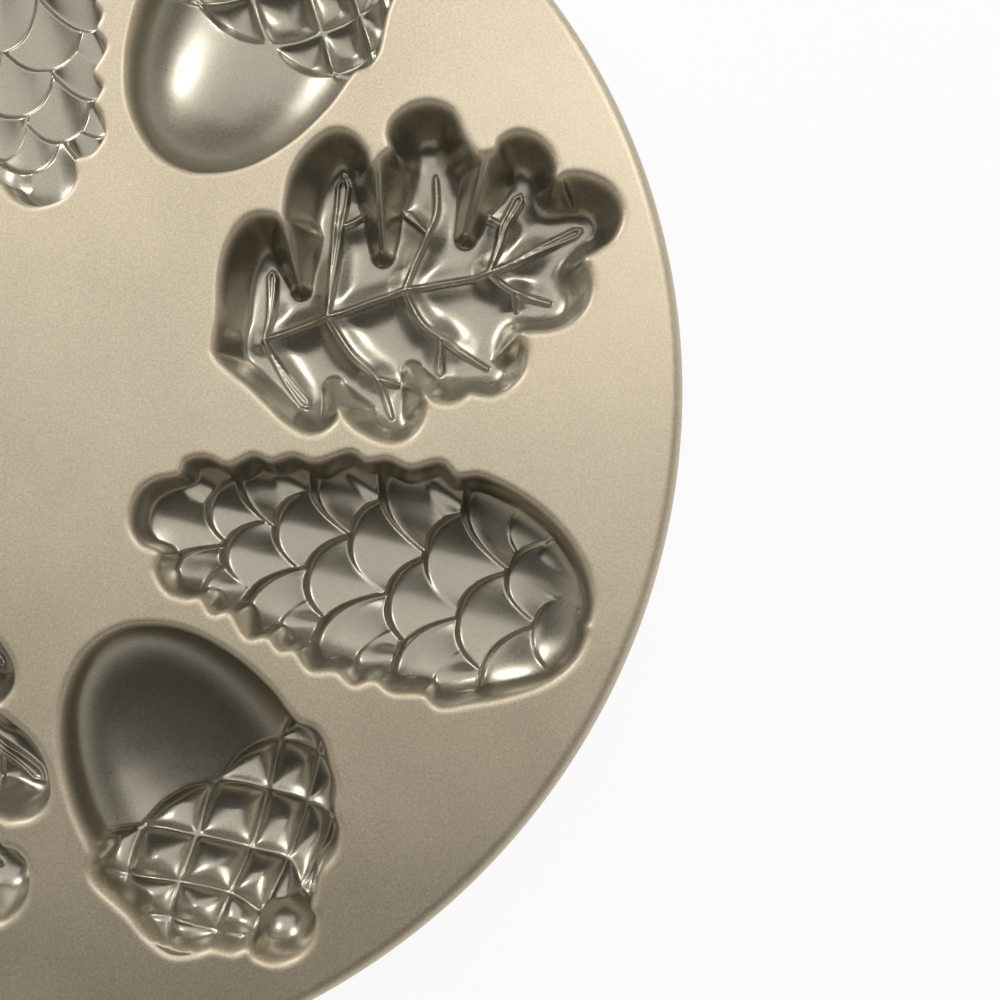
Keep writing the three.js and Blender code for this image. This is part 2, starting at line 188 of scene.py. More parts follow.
def depth_inside(points, loop):
    """How far each point lies inside a closed loop; outside it the value is negative."""
    closed = np.vstack([loop, loop[:1]])
    far, _ = distance_to(points, closed)
    inside = np.zeros(len(points), bool)
    x, y = points.T
    for (x0, y0), (x1, y1) in zip(closed, closed[1:]):
        crosses = (y0 > y) != (y1 > y)
        if y0 != y1:
            inside ^= crosses & (x < x0 + (y - y0) * (x1 - x0) / (y1 - y0))
    return np.where(inside, far, -far)


def soft_depth(points, loop):
    """Like the depth inside a loop, but rounded where it is as far from several sides."""
    closed = np.vstack([loop, loop[:1]])
    middles = (closed[1:] + closed[:-1]) / 2
    lengths = np.hypot(*(closed[1:] - closed[:-1]).T)
    one_side = math.sqrt(math.pi) * math.gamma((SIDE_POWER - 1) / 2) / math.gamma(SIDE_POWER / 2)
    total = np.empty(len(points))
    for first in range(0, len(points), CHUNK):
        chunk = slice(first, first + CHUNK)
        offset = points[chunk, None, :] - middles[None]
        square = (offset**2).sum(2) + LEAST_SQUARE
        total[chunk] = (lengths / square**(SIDE_POWER / 2)).sum(1)
    return (total / one_side)**(-1 / (SIDE_POWER - 1))


def higher(a, b, blend):
    """The greater of two values, with a rounded change from one to the other."""
    return (a + b + np.sqrt((a - b)**2 + blend**2)) / 2


def lower(a, b, blend):
    """The lesser of two values, with a rounded change from one to the other."""
    return -higher(-a, -b, blend)


def fade(x, start, end):
    """0 before start, 1 past end, with a soft change between them."""
    share = np.clip((x - start) / (end - start), 0, 1)
    return share * share * (3 - 2 * share)


def unlifted(x, turn):
    return 0 * x


def seen_from_above(points, width_at, depth_at, boxiness, lift_at=unlifted):
    """Heights of a long body that lies along the x axis and bulges down from z = 0.

    Its half width and depth change along x. Boxiness 2 makes each cross section half an ellipse, and
    more than 2 a boxier one. A lift in x and turn (degrees round the body) moves its skin out.
    """
    low = points.min(0) - 2 * BODY_CELL
    high = points.max(0) + 2 * BODY_CELL
    places = np.arange(low[0], high[0] + BODY_CELL, BODY_CELL)
    x, turn = np.meshgrid(places, BODY_TURNS, indexing="ij")
    lift = lift_at(x, turn)
    sideways = np.sin(np.radians(turn))
    across = (width_at(x) + SIDE_LIFT * lift) * sideways
    down = -depth_at(x) * np.sqrt(1 - np.abs(sideways)**boxiness) - lift * np.cos(np.radians(turn))

    # Each step round the skin sets the height of the cells that it crosses, where it is the lowest
    count = int((high[1] - low[1]) / BODY_CELL) + 2
    table = np.zeros((len(places), count))
    row = np.broadcast_to(np.arange(len(places))[:, None], (len(places), len(BODY_TURNS) - 1))
    start, end = (across[:, :-1] - low[1]) / BODY_CELL, (across[:, 1:] - low[1]) / BODY_CELL
    top = np.maximum(start, end)
    change = np.where(end == start, 1, end - start)
    for extra in range(CELLS_PER_STEP):
        slot = np.ceil(np.minimum(start, end)) + extra
        hit = (slot <= top) & (slot >= 0) & (slot < count)
        share = (slot - start) / change
        height = down[:, :-1] + share * (down[:, 1:] - down[:, :-1])
        np.minimum.at(table, (row[hit], slot[hit].astype(int)), height[hit])

    spot = (points - low) / BODY_CELL
    column = np.clip(spot.astype(int), 0, (len(places) - 2, count - 2))
    part = spot - column
    i, j = column.T
    u, v = part.T
    return (
        table[i, j] * (1 - u) * (1 - v) + table[i + 1, j] * u * (1 - v)
        + table[i, j + 1] * (1 - u) * v + table[i + 1, j + 1] * u * v
    )


def meet_wall(body, wall, inside, blend):
    """A cavity's floor that runs up into its wall, and the wall alone outside the mouth."""
    surface = higher(wall, body, blend)
    return wall + (surface - wall) * fade(inside, *FLOOR_BEGINS)


# The oak leaf

LEAF_MOUTH = [
    (-45, -1), (-44.5, 1.5), (-41.7, 7), (-39.2, 13.7), (-36.2, 19.1), (-32.1, 23), (-28.2, 24.1),
    (-24.6, 22.7), (-22.9, 20.8),
    (-21.3, 24.1), (-18.3, 29.5), (-14.2, 33.3), (-9.2, 35.5), (-5.8, 35.3), (-3.2, 33), (-1.9, 29.5),
    (-1.8, 26.2), (0.8, 27.2), (3.3, 28.3),
    (3.8, 31.2), (5.8, 33.8), (10, 35.3), (14.2, 34.7), (17.3, 32.2), (18.3, 29.5), (18.5, 25.3),
    (19.6, 21.2), (22.1, 20.3), (23.8, 20.5),
    (25.4, 22.2), (28.8, 22.7), (32.1, 20.8), (34.2, 17), (34.3, 13.3), (33.8, 11),
    (36.7, 10.5), (40.4, 8.7), (43.3, 5.3), (44.2, 1.2), (43.2, -2.2), (40.4, -5.1), (36.7, -6.3),
    (33.3, -7.2),
    (33.3, -9.7), (32.5, -13.4), (30, -16.8), (26.3, -18.7), (21.7, -18.8), (17.9, -17.8), (15.4, -17.6),
    (15.4, -21.3), (13.3, -25.1), (9.6, -27.3), (5.8, -27.6), (3.3, -26.5), (1.7, -25.7),
    (-0.8, -26.3), (-3.8, -25.9), (-6.3, -24.3), (-7.3, -23.4),
    (-8.3, -25.9), (-10.8, -28.8), (-14.6, -30.3), (-18.8, -28.8), (-22.5, -25.1), (-24.2, -21.8),
    (-25, -20.1),
    (-26.7, -22), (-30, -23), (-33.3, -21.8), (-36.3, -18), (-38.3, -13.8), (-40.8, -8.8), (-43.3, -4.7),
]

# The wall from outside the mouth inwards, and the cup's outside: (distance inside the mouth, height)
LEAF_WALL = [
    (-1.6, 0), (-1.1, -0.07), (-0.55, -0.34), (0, -1.05), (0.6, -2.9), (1.5, -6.3), (2.4, -9.3), (3.3, -11.5),
    (4.4, -13.1), (5.8, -14.3), (7.6, -15.2), (9.5, -15.7), (12, -15.9),
]
LEAF_SHELL = [
    (-1.75, -3), (-1.2, -4.6), (-0.6, -7), (0.4, -10.5), (1.4, -13.4), (2.5, -15.6), (4, -17), (6, -17.6),
    (9, -17.7),
]

# Crests between the lobes, from the notch in the mouth to the tongue's end on the floor
LEAF_CRESTS = [
    [(-22.9, 20.8), (-24.2, 15), (-24.9, 11)],
    [(-0.5, 26.6), (-3.2, 19), (-5.4, 12)],
    [(21.5, 20.3), (16.8, 14.4), (13, 9.8)],
    [(33.9, 11), (32.2, 10)],
    [(33.5, -7.2), (32, -6.4)],
    [(15.6, -17.6), (15.3, -14.8)],
    [(-7.3, -23.4), (-7.8, -19), (-8.2, -15)],
    [(-25, -20.1), (-25.3, -16), (-25.5, -12.5)],
]
LEAF_CREST_TOP = [(0, -0.9), (0.2, -2.8), (0.5, -6.4), (0.8, -9.4), (1, -11.2)]
# How steep a crest's sides become, how wide its rounded top is, and how it blends into the floor
CREST_STEEPNESS = 2.6
CREST_ROUND = 1.4
CREST_BLEND = 1.0

# Veins: the points along each, then half its width at its root and its tip, and its height
LEAF_MIDRIB = [(-36, 1.4), (-34.5, 1.9), (-21.5, 2.2), (-3.9, 2.2), (14.7, -0.4)]
LEAF_VEINS = [
    (LEAF_MIDRIB, 0, 0, 1.0),
    ([(14.7, -0.4), (20, 0.1), (27, 1.1), (37, 2)], 0, 0.85, 1.0),
    ([(-36, 1.4), (-35.2, 3), (-32.6, 8), (-29.7, 15.7)], 0, 0.7, 1.0),
    ([(-36, 1.4), (-35.6, -2), (-34, -9), (-32, -15)], 0, 0.9, 1.0),
    ([(-21.5, 2.2), (-19, 7.9), (-15, 16), (-8, 30)], 0, 1.2, 1.1),
    ([(-12.1, 20), (-9, 20.4), (-5.8, 21.3)], 0, 0, 0.9),
    ([(-3.9, 2.2), (0, 7), (5, 12.4), (8.6, 17), (11, 24)], 0, 0.2, 1.0),
    ([(5, 12.4), (3.3, 16.3), (2.1, 18.8)], 0, 0.5, 0.9),
    ([(14.7, -0.4), (19, 5), (21.5, 8.7), (27.2, 13.8)], 0, 0.9, 1.0),
    ([(20.8, 8.8), (18.3, 12)], 0, 0.4, 0.9),
    ([(14.7, -0.4), (18.6, -6), (25, -11)], 0, 0.2, 1.0),
    ([(18.6, -6), (17.8, -10)], 0, 0, 0.9),
    ([(-3.9, 2.2), (-2.9, -5.1), (0, -10.2), (7.3, -20)], 0, 0.1, 1.0),
    ([(0, -10.2), (-2.8, -17.6)], 0, 0.5, 0.9),
    ([(-21.5, 2.2), (-19.4, -6.8), (-16, -14), (-15.8, -23.2)], 0, 0.2, 1.0),
    ([(-16, -14), (-12.1, -16.8)], 0, 0, 0.9),
]
# The floor swells towards the veins, less so towards their tips
VEIN_FLARE = 2.3
VEIN_FLARE_WIDTH = 3.6
VEIN_FLARE_FALL = 0.65
VEIN_CREST_WIDTH = 0.42
# The last share of a vein, where its two sides close, and how high the groove between them lies
VEIN_CLOSING = 0.08
VEIN_GROOVE = 0.3

# Distances inside the mouth between which these set in: the rounded floor, the veins, the crests
ROUNDED_FLOOR = (1, 3)
VEINS_BEGIN = (1.5, 5.5)
CRESTS_BEGIN = (-0.8, 0.6)


def leaf_heights(points, inside, loop):
    """The heights of the leaf cup's inside and outside, in the cup's own plan."""
    soft = np.where(inside > 0, soft_depth(points, loop), inside)
    depth = inside + (soft - inside) * fade(inside, *ROUNDED_FLOOR)
    floor = eased(LEAF_WALL)(depth)
    flare = np.zeros(len(points))
    rib = np.zeros(len(points))
    for stops, root, tip, rise in LEAF_VEINS:
        far, along = distance_to(points, smooth_line(stops))
        half = (root + (tip - root) * along) * np.sqrt(fade(1 - along, 0, VEIN_CLOSING))
        flare = flare + np.exp(-3 * (far / VEIN_FLARE_WIDTH)**2) * (1 - VEIN_FLARE_FALL * along**2)**3
        crest = np.exp(-((far - half) / VEIN_CREST_WIDTH)**2)
        crest = np.where(far < half, np.maximum(crest, VEIN_GROOVE), crest)
        rib = np.maximum(rib, rise * crest)
    carved = floor + (VEIN_FLARE * flare**(1 / 3) + rib) * fade(inside, *VEINS_BEGIN)
    surface = carved
    for stops in LEAF_CRESTS:
        far, along = distance_to(points, smooth_line(stops))
        crest = eased(LEAF_CREST_TOP)(along) - CREST_STEEPNESS * far**2 / (far + CREST_ROUND)
        surface = higher(surface, crest, CREST_BLEND)
    top = carved + (surface - carved) * fade(inside, *CRESTS_BEGIN)
    return top, eased(LEAF_SHELL)(inside)


# The pine cone

CONE_MOUTH = [
    (-47.9, 0.5), (-47.2, 4.4), (-44.6, 7.3), (-40.5, 9.3),
    (-39.6, 12.5), (-36, 14), (-31.2, 13.4), (-27, 16.5), (-23, 16.2), (-19, 18.3), (-14, 18.2),
    (-8, 21.7), (-4.2, 20.7), (0, 22.1), (5, 21.4), (10.5, 24), (14.6, 22), (20, 23.2),
    (30, 20.5), (38, 16), (44, 10), (47, 4), (47.4, 0), (47, -1.6), (47.4, -4),
    (46, -9), (42, -14), (35, -18.5), (28, -21.5), (22, -23.7), (18, -22),
    (12, -23), (8, -21.5), (4, -23.3), (0, -21.5), (-5, -22.5), (-9, -19.5),
    (-12, -20), (-15, -18), (-19, -19), (-23.5, -15), (-27, -16), (-30, -13.5),
    (-33, -14.2), (-37, -13.7), (-40, -10.4), (-40.4, -6.6), (-44.4, -5.6), (-47, -3),
]
CONE_WALL = [
    (-1.5, 0), (-1, -0.08), (-0.5, -0.38), (-0.1, -1), (0.2, -2), (0.45, -4), (0.85, -7.5), (1.4, -12),
    (2.2, -18),
]
CONE_SHELL = [(-1.75, -3), (-1.2, -6.5), (-0.6, -10), (0.2, -13.5), (1.4, -18), (3, -22), (5, -26)]

# Half width of the cone's body along its axis, and its depth
CONE_WIDTH = [
    (-50, 3), (-48.5, 6.5), (-47, 8.2), (-44.6, 10), (-41, 13), (-39, 15), (-36, 16.4), (-31, 17),
    (-27, 18.8), (-19, 20.8), (-12, 22.6), (-8, 23.8), (0, 24.8), (10.5, 26.2), (22, 26), (30, 23.6),
    (38, 19.4), (44, 13.6), (47, 8.4), (49.5, 2),
]
CONE_DEPTH = [
    (-50, 1), (-48.5, 3), (-47, 5), (-44.6, 6.6), (-41, 8.3), (-36, 9.8), (-29.5, 11.3), (-20, 12.7),
    (-9.5, 13.6), (0, 14), (9.5, 14.2), (20, 14.1), (29.5, 13.4), (38, 11.6), (43.7, 9), (47, 6), (49.5, 1),
]
CONE_BOXINESS = 3.1
# The outside's body is this much wider, deeper in proportion and deeper again
CONE_OUT_WIDER = 3.6
CONE_OUT_DEEPER = (1.15, 5.5)
CONE_WALL_BLEND = 0.5

# The scales: the nose's x and y, the axis' turn in degrees, half the width, and the nose's length, then
# how far the scale rises at its nose and its whole length. First the middle and the heel, then the lower
# and the upper side, then the small ones that fill the lobes of the mouth.
CONE_SCALES = [
    (-48.2, 0.5, -3, 7.4, 6, 3.6, 17), (-36.5, 5, 0, 6.8, 5.5, 3.2, 15), (-31.2, -3, 0, 7.2, 6.5, 3.2, 16),
    (-22.3, 5, 0, 8.5, 6.5, 3.3, 17), (-13.4, -4, 0, 9.2, 7, 3.4, 19), (-6.3, 6, 0, 9.6, 7, 3.5, 19),
    (4.8, -4.7, 0, 9.8, 7, 3.5, 20), (10.4, 6.3, 0, 10, 7, 3.5, 20), (20.4, -5.5, 0, 10, 6.5, 3.5, 20),
    (28.6, 5.5, 0, 8.6, 7.5, 3.6, 18), (36.8, -6, 10, 8, 5, 2.8, 16), (35, 13, -30, 7, 4, 2.4, 15),
    (-41.6, -10.8, 4, 6.5, 8, 5, 13), (-24.4, -15.6, 2, 11, 9, 5, 17), (-8.4, -19, 4, 12, 10.5, 5.4, 18),
    (9.2, -20.4, 4, 12, 9.5, 5.4, 18), (28, -18, 4, 12, 8, 4.4, 19),
    (-32.2, 13.4, -4, 8.5, 9, 5.8, 14), (-16.8, 15.8, -4, 8.8, 10, 6.2, 15),
    (-2.4, 19.6, -4, 12.5, 12.5, 6.6, 17), (15.8, 20.6, -4, 13, 12.5, 6.6, 18), (27, 17.6, -16, 7, 7, 3, 14),
    (-42.6, 11, -20, 4.4, 4, 3, 13), (-24.8, 16, -20, 4.4, 4, 3.6, 15), (-10.8, 19.6, -24, 4.2, 4, 3.8, 15),
    (7.6, 22.4, -28, 4.2, 4, 4, 17), (-33, -13.2, 20, 4.4, 4, 3.6, 12), (-16.2, -17.4, 18, 4.4, 4, 4, 13),
    (1.6, -21.4, 24, 4.4, 4, 4.2, 14), (18.6, -22.2, 26, 4.8, 4, 4, 15),
]
# The lift where no scale is, and the least and greatest share of a scale's rise
BARE_LIFT = -3.0
SHARE_ENDS = (0.08, 1.3)
# How the nose curves back to its sides: a round part and a sharper one
NOSE_CURVE = (0.55, 0.45)
# How far a scale falls off to its sides, and the ridge along its middle
SCALE_FALL = 0.42
SCALE_KEEL = 0.65
KEEL_ROUND = 0.02
KEEL_START = 0.14
# Stops the sides from folding up where a scale ends
TAIL_ROUND = 0.07
# The steep face at the nose: its slope, where it starts, and how it rounds into the crown
SCALE_RISER = 2.8
RISER_START = 0.4
RISER_BLEND = 1.6
SCALE_BLEND = 0.2
# Where a scale counts: the greatest square of its share of half the width, and the least place behind
SCALE_SIDES = 4
SCALE_BEFORE = -3


def scale_lift(points):
    """How far the cone's scales stand out at each point."""
    x, y = points.T
    lift = np.full(len(points), BARE_LIFT)
    for nose_x, nose_y, turn, half, nose, rise, length in CONE_SCALES:
        angle = math.radians(turn)
        along = (x - nose_x) * math.cos(angle) + (y - nose_y) * math.sin(angle)
        across = (y - nose_y) * math.cos(angle) - (x - nose_x) * math.sin(angle)
        square = (across / half)**2
        behind = along - nose * (NOSE_CURVE[0] * square + NOSE_CURVE[1] * square**2)
        share = np.clip(1 - behind / length, *SHARE_ENDS)
        fan = square / (share**2 + TAIL_ROUND)
        keel = SCALE_KEEL * (np.sqrt(fan + KEEL_ROUND) - KEEL_START)
        crown = share * (rise * (1 - SCALE_FALL * fan) - keel)
        scale = lower(crown, SCALE_RISER * behind + RISER_START, RISER_BLEND)
        near = (square < SCALE_SIDES) & (behind > SCALE_BEFORE) & (behind < length)
        lift = np.where(near, higher(lift, scale, SCALE_BLEND), lift)
    return lift


def cone_heights(points, inside, loop):
    """The heights of the cone cup's inside and outside, in the cup's own plan."""
    x, y = points.T
    width, depth = eased(CONE_WIDTH), eased(CONE_DEPTH)
    share = np.clip(np.abs(y) / width(x), 0, 1)
    body = -depth(x) * np.sqrt(1 - share**CONE_BOXINESS) - scale_lift(points)
    top = meet_wall(body, eased(CONE_WALL)(inside), inside, CONE_WALL_BLEND)
    times, plus = CONE_OUT_DEEPER
    outside = seen_from_above(
        points, lambda x: width(x) + CONE_OUT_WIDER, lambda x: times * depth(x) + plus, CONE_BOXINESS,
    )
    return top, higher(eased(CONE_SHELL)(inside), outside, SHELL_BLEND)


# The acorn

ACORN_MOUTH = [
    (-36, 0), (-35.6, 3.4), (-34.5, 6.5), (-31.2, 11.5), (-26.3, 15.9), (-18.5, 20), (-9.7, 22.6), (-3, 23.4),
    (-0.4, 24), (2, 25.9), (5.4, 26.2), (10, 24.9), (14, 23.6), (18, 20.9), (22, 19.6), (25, 16.6),
    (26.7, 12.4), (30, 8.9), (31.9, 7),
    (34.2, 6.8), (37, 4.2), (38.2, 0), (37, -4.2), (34.2, -6.8),
    (31.7, -7.4), (30.7, -10.3), (28, -13.2), (26.9, -16.6), (24.4, -20.8), (19.2, -23), (14, -23.8),
    (10, -24.9), (5.4, -26.2), (2, -25.9), (-0.4, -24),
    (-3, -23.4), (-9.7, -22.6), (-18.5, -20), (-26.3, -15.9), (-31.2, -11.5), (-34.5, -6.5), (-35.6, -3.4),
]
ACORN_WALL = [
    (-1.5, 0), (-1, -0.08), (-0.5, -0.38), (-0.1, -0.95), (0.3, -2), (0.8, -4.2), (1.5, -8), (2.3, -13),
    (3.4, -19),
]
ACORN_SHELL = [(-1.75, -3), (-1.2, -6), (-0.6, -9), (0.3, -12), (1.6, -15.6), (3.2, -19), (5, -22), (8, -26)]

# Half width of the nut and of its cap along the axis. Roundness is the depth as a share of half the width.
NUT_WIDTH = [
    (-36.4, 0.5), (-35.9, 3.6), (-34.5, 7.4), (-31.2, 12.3), (-26.3, 16.6), (-18.5, 20.8), (-9.7, 23.4),
    (-3, 24.3), (3, 24.6), (9, 24), (14, 20), (17, 10),
]
NUT_ROUNDNESS = 0.62
NUT_BOXINESS = 2.2
CAP_WIDTH = [
    (-4, 24.5), (0, 26.6), (5.4, 27.2), (10, 26.2), (14, 24.9), (18, 22.8), (22, 21), (25, 18.2),
    (28.5, 14), (32, 9.5), (35, 6), (38, 2),
]
CAP_ROUNDNESS = 0.58
CAP_BOXINESS = 2.3

# The outsides: how much wider they are, their roundness and how much deeper they are. The cap's outside
# ends where the nut's begins.
NUT_OUTSIDE = (1.8, 0.7, 1)
CAP_OUTSIDE = (3, 0.66, 5)
CAP_ENDS = (-1.5, 4)

# How round the cap meets the nut, the pyramids meet the brim, the button the cap, and the floor the wall
NUT_BLEND = 0.25
BRIM_BLEND = 0.3
BUTTON_BLEND = 0.3
ACORN_WALL_BLEND = 0.6

# The crossing ridges: the row of crossings at each place, how the rows bend and lean round the cap, and
# the degrees from one column of crossings to the next
CAP_ROWS = [(-7, -2), (-2.6, -1), (0.9, 0), (8.6, 1), (16.5, 2), (22.7, 3), (29, 4), (33.5, 5), (37, 6)]
CAP_BEND = [(-4, 0), (0, 0.4), (8, 2.5), (15, 5), (30, 4.5)]
CAP_LEAN = [(0, 0), (15, -1), (22, -4), (28.7, -15), (34, -18)]
CAP_TURN = 20

# The pyramids: their rise, the shape of their sides (a slope and its easing), how round their edges are,
# and the depth and width of the ridges between them
CAP_RISE = 2.5
PYRAMID_SIDES = (1.55, 0.6)
PYRAMID_BLEND = 0.2
RIDGE_DEPTH = 0.45
RIDGE_WIDTH = 0.075
# The brim along the first row: its slope and where it starts. Past it the skin falls away.
BRIM_SLOPE = 9
BRIM_START = 3.2
BRIM_FALL = 16
BRIM_END = 14

# The button at the cap's end
BUTTON_PLACE = (31.6, -0.4)
BUTTON_RADIUS = 7.5
BUTTON_DEPTH = 11
BUTTON_SLOPE = 8
BUTTON_WALL = 2.2


def cap_lift(x, turn):
    """How far the cap's skin stands out: soft pyramids between two crossing sets of ridges."""
    row = eased(CAP_ROWS)(x + eased(CAP_BEND)(x) * np.sin(np.radians(turn))**2)
    column = (turn - eased(CAP_LEAN)(x)) / CAP_TURN
    one_way, other_way = (row + column) / 2, (row - column) / 2
    first, second = np.floor(one_way), np.floor(other_way)
    one, other = one_way - first, other_way - second
    edge_one = np.minimum(one, 1 - one)
    edge_other = np.minimum(other, 1 - other)
    steep = 2 * lower(edge_one, edge_other, PYRAMID_BLEND)
    ridge = np.exp(-(np.minimum(edge_one, edge_other) / RIDGE_WIDTH)**2)
    slope, easing = PYRAMID_SIDES
    pyramid = CAP_RISE * (slope * steep - easing * steep**2) - RIDGE_DEPTH * ridge
    # A diamond's rank is its row: the cap's own are 0 and up, the brim is -1, and past it the skin falls away
    rank = first + second
    brim = np.where(rank == -1, BRIM_SLOPE * (one + other) - BRIM_START, BRIM_SLOPE)
    fallen = np.where(rank == -2, -BRIM_FALL * np.minimum(1 - one, 1 - other), -BRIM_END)
    return np.where(rank >= -1, lower(pyramid, brim, BRIM_BLEND), fallen)


def grown(width_at, size):
    """The half width and depth of a body round another one."""
    wider, roundness, deeper = size
    return lambda x: width_at(x) + wider, lambda x: roundness * width_at(x) + deeper


def acorn_heights(points, inside, loop):
    """The heights of the acorn cup's inside and outside, in the cup's own plan."""
    x, y = points.T
    nut_width, cap_width = eased(NUT_WIDTH), eased(CAP_WIDTH)
    nut = seen_from_above(points, *grown(nut_width, (0, NUT_ROUNDNESS, 0)), NUT_BOXINESS)
    cap = seen_from_above(points, *grown(cap_width, (0, CAP_ROUNDNESS, 0)), CAP_BOXINESS, cap_lift)
    from_button = np.hypot(x - BUTTON_PLACE[0], y - BUTTON_PLACE[1]) / BUTTON_RADIUS
    button = -BUTTON_DEPTH * np.sqrt(np.maximum(1 - from_button**2, 0))
    button = button + BUTTON_SLOPE * np.maximum(from_button - 1, 0)
    body = lower(lower(nut, cap, NUT_BLEND), button, BUTTON_BLEND)
    top = meet_wall(body, eased(ACORN_WALL)(inside), inside, ACORN_WALL_BLEND)

    nut_outside = seen_from_above(points, *grown(nut_width, NUT_OUTSIDE), NUT_BOXINESS)
    cap_outside = seen_from_above(points, *grown(cap_width, CAP_OUTSIDE), CAP_BOXINESS)
    end, run = CAP_ENDS
    cap_outside = np.where(x > end, cap_outside, cap_outside * np.maximum(1 + (x - end) / run, 0))
    outside = np.minimum(np.minimum(nut_outside, cap_outside), button - BUTTON_WALL)
    return top, higher(eased(ACORN_SHELL)(inside), outside, SHELL_BLEND)


# Cups and plate

# For each kind: the CAD node's stem, its mouth, its heights, the cell size, the bearing (degrees) and reach
# of its middle on the plate, and its turn (degrees)
KINDS = {
    "leaf": ("oak_leaf_cup", LEAF_MOUTH, leaf_heights, 0.32, 13.95, 88.396, 19.7),
    "cone": ("pine_cone_cup", CONE_MOUTH, cone_heights, 0.33, -27.1, 83.104, -13.2),
    "acorn": ("acorn_cup", ACORN_MOUTH, acorn_heights, 0.33, -63.3, 92.4, -57.8),
}
# The land is the flat ring round each mouth, as thick as the plate
LAND = 1.75
PLATE_THICKNESS = 3
THINNEST_WALL = 1.2

# How a patch's edge is moved onto the land's edge, and how the cells next to it are evened out
EDGE_PASSES = 4
SLOPE_STEP = 0.02
LEAST_SLOPE = 0.3
MERGED_SHARE = 0.2
SMOOTH_PASSES = 6
SMOOTH_CELLS = 3


def xy_of(verts):
    return np.array([vert.co[:2] for vert in verts])


def gradient(places, loop):
    """The change of the depth inside a loop, along x and y."""
    across, up = (SLOPE_STEP, 0), (0, SLOPE_STEP)
    return np.stack([
        depth_inside(places + across, loop) - depth_inside(places - across, loop),
        depth_inside(places + up, loop) - depth_inside(places - up, loop),
    ], axis=1) / (2 * SLOPE_STEP)


def trimmed_patch(mouth, cell):
    """A flat grid of small cells, cut to the mouth's outline and the land round it."""
    loop = smooth_line(mouth, closed=True)
    low = loop.min(0) - LAND - 2 * cell
    high = loop.max(0) + LAND + 2 * cell
    counts = np.ceil((high - low) / cell).astype(int)
    patch = bmesh.new()
    bmesh.ops.create_grid(patch, x_segments=int(counts[0]), y_segments=int(counts[1]), size=0.5)
    size = Matrix.Diagonal((counts[0] * cell, counts[1] * cell, 1, 1))
    middle = Matrix.Translation((*(low + counts * cell / 2), 0))
    bmesh.ops.transform(patch, matrix=middle @ size, verts=patch.verts)

    inside = depth_inside(xy_of(patch.verts), loop)
    patch.verts.index_update()
    outer = [f for f in patch.faces if sum(inside[v.index] for v in f.verts) / 4 < -LAND]
    bmesh.ops.delete(patch, geom=outer, context="FACES")
    edge = [v for v in patch.verts if v.is_boundary]
    places = xy_of(edge)
    for _ in range(EDGE_PASSES):
        reach = depth_inside(places, loop)
        slope = gradient(places, loop)
        steepness = np.maximum((slope**2).sum(1), LEAST_SLOPE)
        places = places - slope * (reach + LAND)[:, None] / steepness[:, None]
    for vert, (x, y) in zip(edge, places):
        vert.co.x = x
        vert.co.y = y
    bmesh.ops.remove_doubles(patch, verts=edge, dist=cell * MERGED_SHARE)
    band = [v for v in patch.verts if not v.is_boundary]
    reach = depth_inside(xy_of(band), loop)
    band = [v for v, far in zip(band, reach) if far < -LAND + SMOOTH_CELLS * cell]
    for _ in range(SMOOTH_PASSES):
        bmesh.ops.smooth_vert(patch, verts=band, factor=0.5, use_axis_x=True, use_axis_y=True)
    return patch, loop


def sharpen(edges):
    for e in edges:
        e.smooth = False
        e.seam = True


def cup_mesh(name, mouth, heights, cell):
    """One cup's closed body: its cavity, the land round its mouth and its outside, in its own plan."""
    patch, loop = trimmed_patch(mouth, cell)
    points = xy_of(patch.verts)
    top, shell = heights(points, depth_inside(points, loop), loop)
    top = np.minimum(top, 0)
    shell = np.minimum(shell, top - THINNEST_WALL)
    shell = np.maximum(shell, -DECK_TOP / MM)
    top_verts = list(patch.verts)
    for vert, height in zip(top_verts, top):
        vert.co.z = 0 if vert.is_boundary else height
    edge = [e for e in patch.edges if e.is_boundary]
    sharpen(edge)
    lower_side = bmesh.ops.duplicate(patch, geom=patch.faces[:])
    twins = lower_side["vert_map"]
    for vert, depth in zip(top_verts, shell):
        twins[vert].co.z = -PLATE_THICKNESS if vert.is_boundary else depth
    bmesh.ops.reverse_faces(patch, faces=of_kind(lower_side["geom"], bmesh.types.BMFace))
    far_edge = [e for e in of_kind(lower_side["geom"], bmesh.types.BMEdge) if e.is_boundary]
    sharpen(far_edge)
    bmesh.ops.bridge_loops(patch, edges=edge + far_edge)
    bmesh.ops.recalc_face_normals(patch, faces=patch.faces)
    for face in patch.faces:
        face.smooth = True
    bmesh.ops.transform(patch, matrix=Matrix.Scale(MM, 4), verts=patch.verts)
    mesh = bpy.data.meshes.new(name)
    patch.to_mesh(mesh)
    patch.free()
    return mesh


def of_kind(geometry, kind):
    return [item for item in geometry if isinstance(item, kind)]


def place_cups(kind):
    """The three cups of one kind, each a third of a turn on from the last."""
    stem, mouth, heights, cell, bearing, reach, turn = KINDS[kind]
    pattern = cup_mesh(stem, mouth, heights, cell)
    meshes = [pattern] + [pattern.copy() for _ in range(COPIES - 1)]
    for copy, mesh in enumerate(meshes):
        node = f"{stem}_{copy + 1}"
        mesh.name = f"{node}_cast"
        step = 2 * math.pi * copy / COPIES
        angle = math.radians(bearing) + step
        middle = Vector((reach * MM * math.cos(angle), reach * MM * math.sin(angle), DECK_TOP))
        mesh.transform(Matrix.Translation(middle) @ Matrix.Rotation(math.radians(turn) + step, 4, "Z"))
        add_piece(mesh, node)


def add_piece(mesh, node):
    """Shows the mesh in place of a CAD node, in the pan's coat."""
    piece = bpy.data.objects.new(f"{node}_cast", mesh)
    bpy.context.scene.collection.objects.link(piece)
    mesh.materials.clear()
    mesh.materials.append(cast_coat())
    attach(piece, BODY)
    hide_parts(node)


